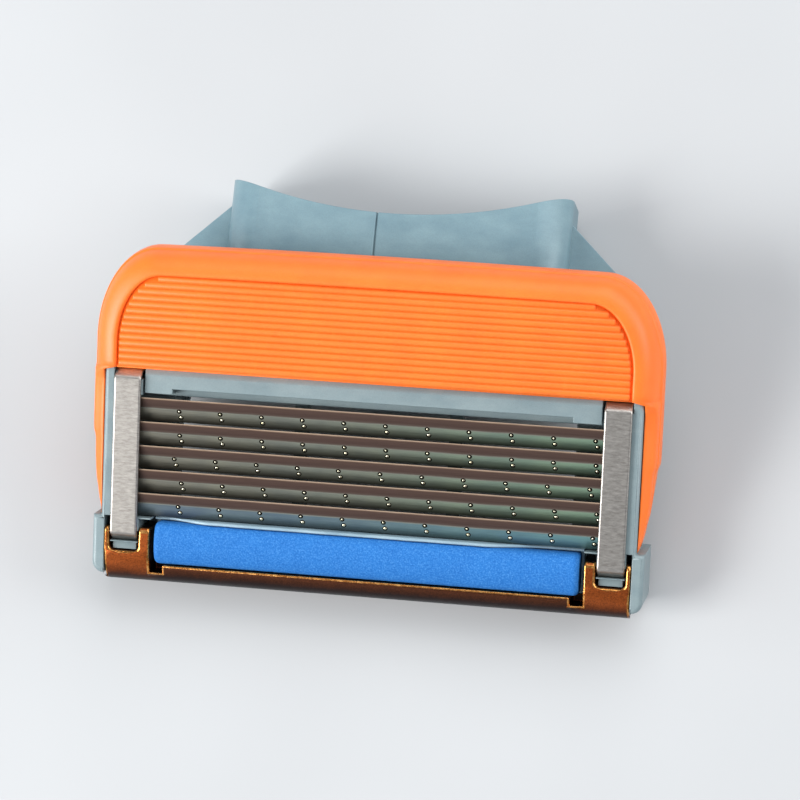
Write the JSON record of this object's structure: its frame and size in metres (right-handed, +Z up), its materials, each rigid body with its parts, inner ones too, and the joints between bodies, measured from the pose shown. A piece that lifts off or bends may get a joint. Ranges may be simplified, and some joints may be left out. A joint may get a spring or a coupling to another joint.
{
  "type": "razor cartridge",
  "caption": "Pivoting razor head: finned rubber guard, stepped sprung blades under end clips, lubricating strip, rear trimmer and a docking socket.",
  "frame": {"origin": "on the table, under the middle of the object's box as it lies on its connector", "axes": "+X along the blades to the user's right, +Y from the cap edge towards the docking socket's mouth, +Z up; the shaving face is tilted 20 degrees, guard high"},
  "size_m": [0.0422, 0.0306, 0.0135],
  "materials": {
    "guard_elastomer": "satin thermoplastic elastomer, orange",
    "housing_plastic": "blue-grey moulded plastic",
    "connector_plastic": "blue-grey moulded plastic, faintly metallic",
    "tray_plastic": "light blue-grey plastic",
    "clip_metal": "brushed, grain along the strap",
    "blade_steel": "ground and coated steel",
    "support_steel": "cold-rolled steel",
    "lubricating_foam": "blue, grainy, dry lubricating polymer",
    "carrier_bronze": "bronze metallic coating on plastic"
  },
  "bodies": {
    "connector": {"connector": "connector_plastic"},
    "blade_unit": {"housing": "housing_plastic", "guard": "guard_elastomer", "clip_left": "clip_metal", "clip_right": "clip_metal", "strip_tray": "tray_plastic", "lubricating_strip": "lubricating_foam", "trimmer_carrier": "carrier_bronze", "trimmer_blade": "blade_steel", "spring_fingers_1": "housing_plastic", "spring_fingers_2": "housing_plastic", "spring_fingers_3": "housing_plastic", "spring_fingers_4": "housing_plastic", "spring_fingers_5": "housing_plastic"},
    "cutting_member_1": {"blade_1": "blade_steel", "blade_support_1": "support_steel"},
    "cutting_member_2": {"blade_2": "blade_steel", "blade_support_2": "support_steel"},
    "cutting_member_3": {"blade_3": "blade_steel", "blade_support_3": "support_steel"},
    "cutting_member_4": {"blade_4": "blade_steel", "blade_support_4": "support_steel"},
    "cutting_member_5": {"blade_5": "blade_steel", "blade_support_5": "support_steel"}
  },
  "joints": [
    {"name": "head_pivot", "type": "hinge", "parent": "connector", "child": "blade_unit", "pos_m": [0, -0.00008, 0.00856], "axis": [1, 0, 0], "range_deg": [0, 45]},
    {"name": "blade_float_1", "type": "slide", "parent": "blade_unit", "child": "cutting_member_1", "axis": [0, 0.342, -0.9397], "range_m": [0, 0.0004], "stiffness_N_per_m": 600, "springref_m": -0.0005, "deforming": ["spring_fingers_1"]},
    {"name": "blade_float_2", "type": "slide", "parent": "blade_unit", "child": "cutting_member_2", "axis": [0, 0.342, -0.9397], "range_m": [0, 0.0004], "stiffness_N_per_m": 600, "springref_m": -0.0005, "deforming": ["spring_fingers_2"]},
    {"name": "blade_float_3", "type": "slide", "parent": "blade_unit", "child": "cutting_member_3", "axis": [0, 0.342, -0.9397], "range_m": [0, 0.0004], "stiffness_N_per_m": 600, "springref_m": -0.0005, "deforming": ["spring_fingers_3"]},
    {"name": "blade_float_4", "type": "slide", "parent": "blade_unit", "child": "cutting_member_4", "axis": [0, 0.342, -0.9397], "range_m": [0, 0.0004], "stiffness_N_per_m": 600, "springref_m": -0.0005, "deforming": ["spring_fingers_4"]},
    {"name": "blade_float_5", "type": "slide", "parent": "blade_unit", "child": "cutting_member_5", "axis": [0, 0.342, -0.9397], "range_m": [0, 0.0004], "stiffness_N_per_m": 600, "springref_m": -0.0005, "deforming": ["spring_fingers_5"]}
  ]
}
